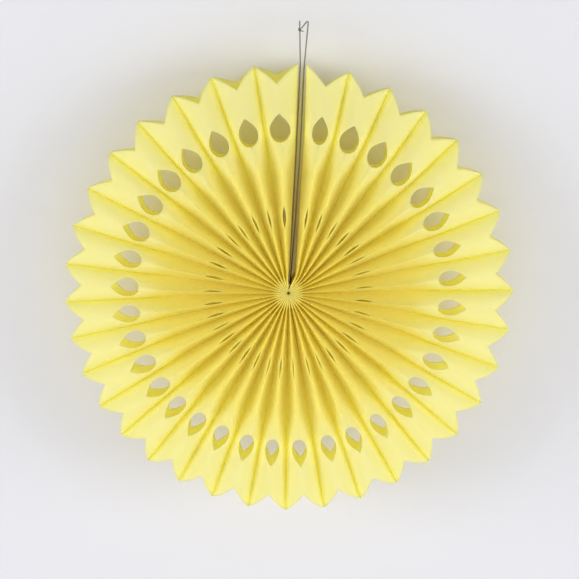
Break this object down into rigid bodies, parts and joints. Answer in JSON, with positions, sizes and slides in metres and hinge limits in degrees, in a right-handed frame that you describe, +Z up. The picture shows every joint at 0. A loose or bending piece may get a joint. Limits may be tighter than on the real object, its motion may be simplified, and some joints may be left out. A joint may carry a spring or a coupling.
{
  "type": "paper fan rosette",
  "caption": "Round hanging decoration of folded paper petals with die-cut holes and a pointed rim, on a doubled line.",
  "frame": {"origin": "centre of the fan, on the hub axis, half way through its depth", "axes": "+Z up along the hanging line, -Y towards the front, +X to the right as seen from the front"},
  "size_m": [0.2996, 0.046, 0.3281],
  "materials": {
    "paper": "matte",
    "line": "gloss"
  },
  "bodies": {
    "root": {"petal_01": "paper", "petal_02": "paper", "petal_03": "paper", "petal_04": "paper", "petal_05": "paper", "petal_06": "paper", "petal_07": "paper", "petal_08": "paper", "petal_09": "paper", "petal_10": "paper", "petal_11": "paper", "petal_12": "paper", "petal_13": "paper", "petal_14": "paper", "petal_15": "paper", "petal_16": "paper", "petal_17": "paper", "petal_18": "paper", "petal_19": "paper", "petal_20": "paper", "petal_21": "paper", "petal_22": "paper", "petal_23": "paper", "petal_24": "paper", "petal_25": "paper", "petal_26": "paper", "petal_27": "paper", "petal_28": "paper", "petal_29": "paper", "petal_30": "paper", "petal_31": "paper", "petal_32": "paper", "petal_33": "paper", "petal_34": "paper", "petal_35": "paper", "gathering_loop": "line", "line_left": "line", "line_right": "line", "line_knot": "line"}
  },
  "joints": []
}
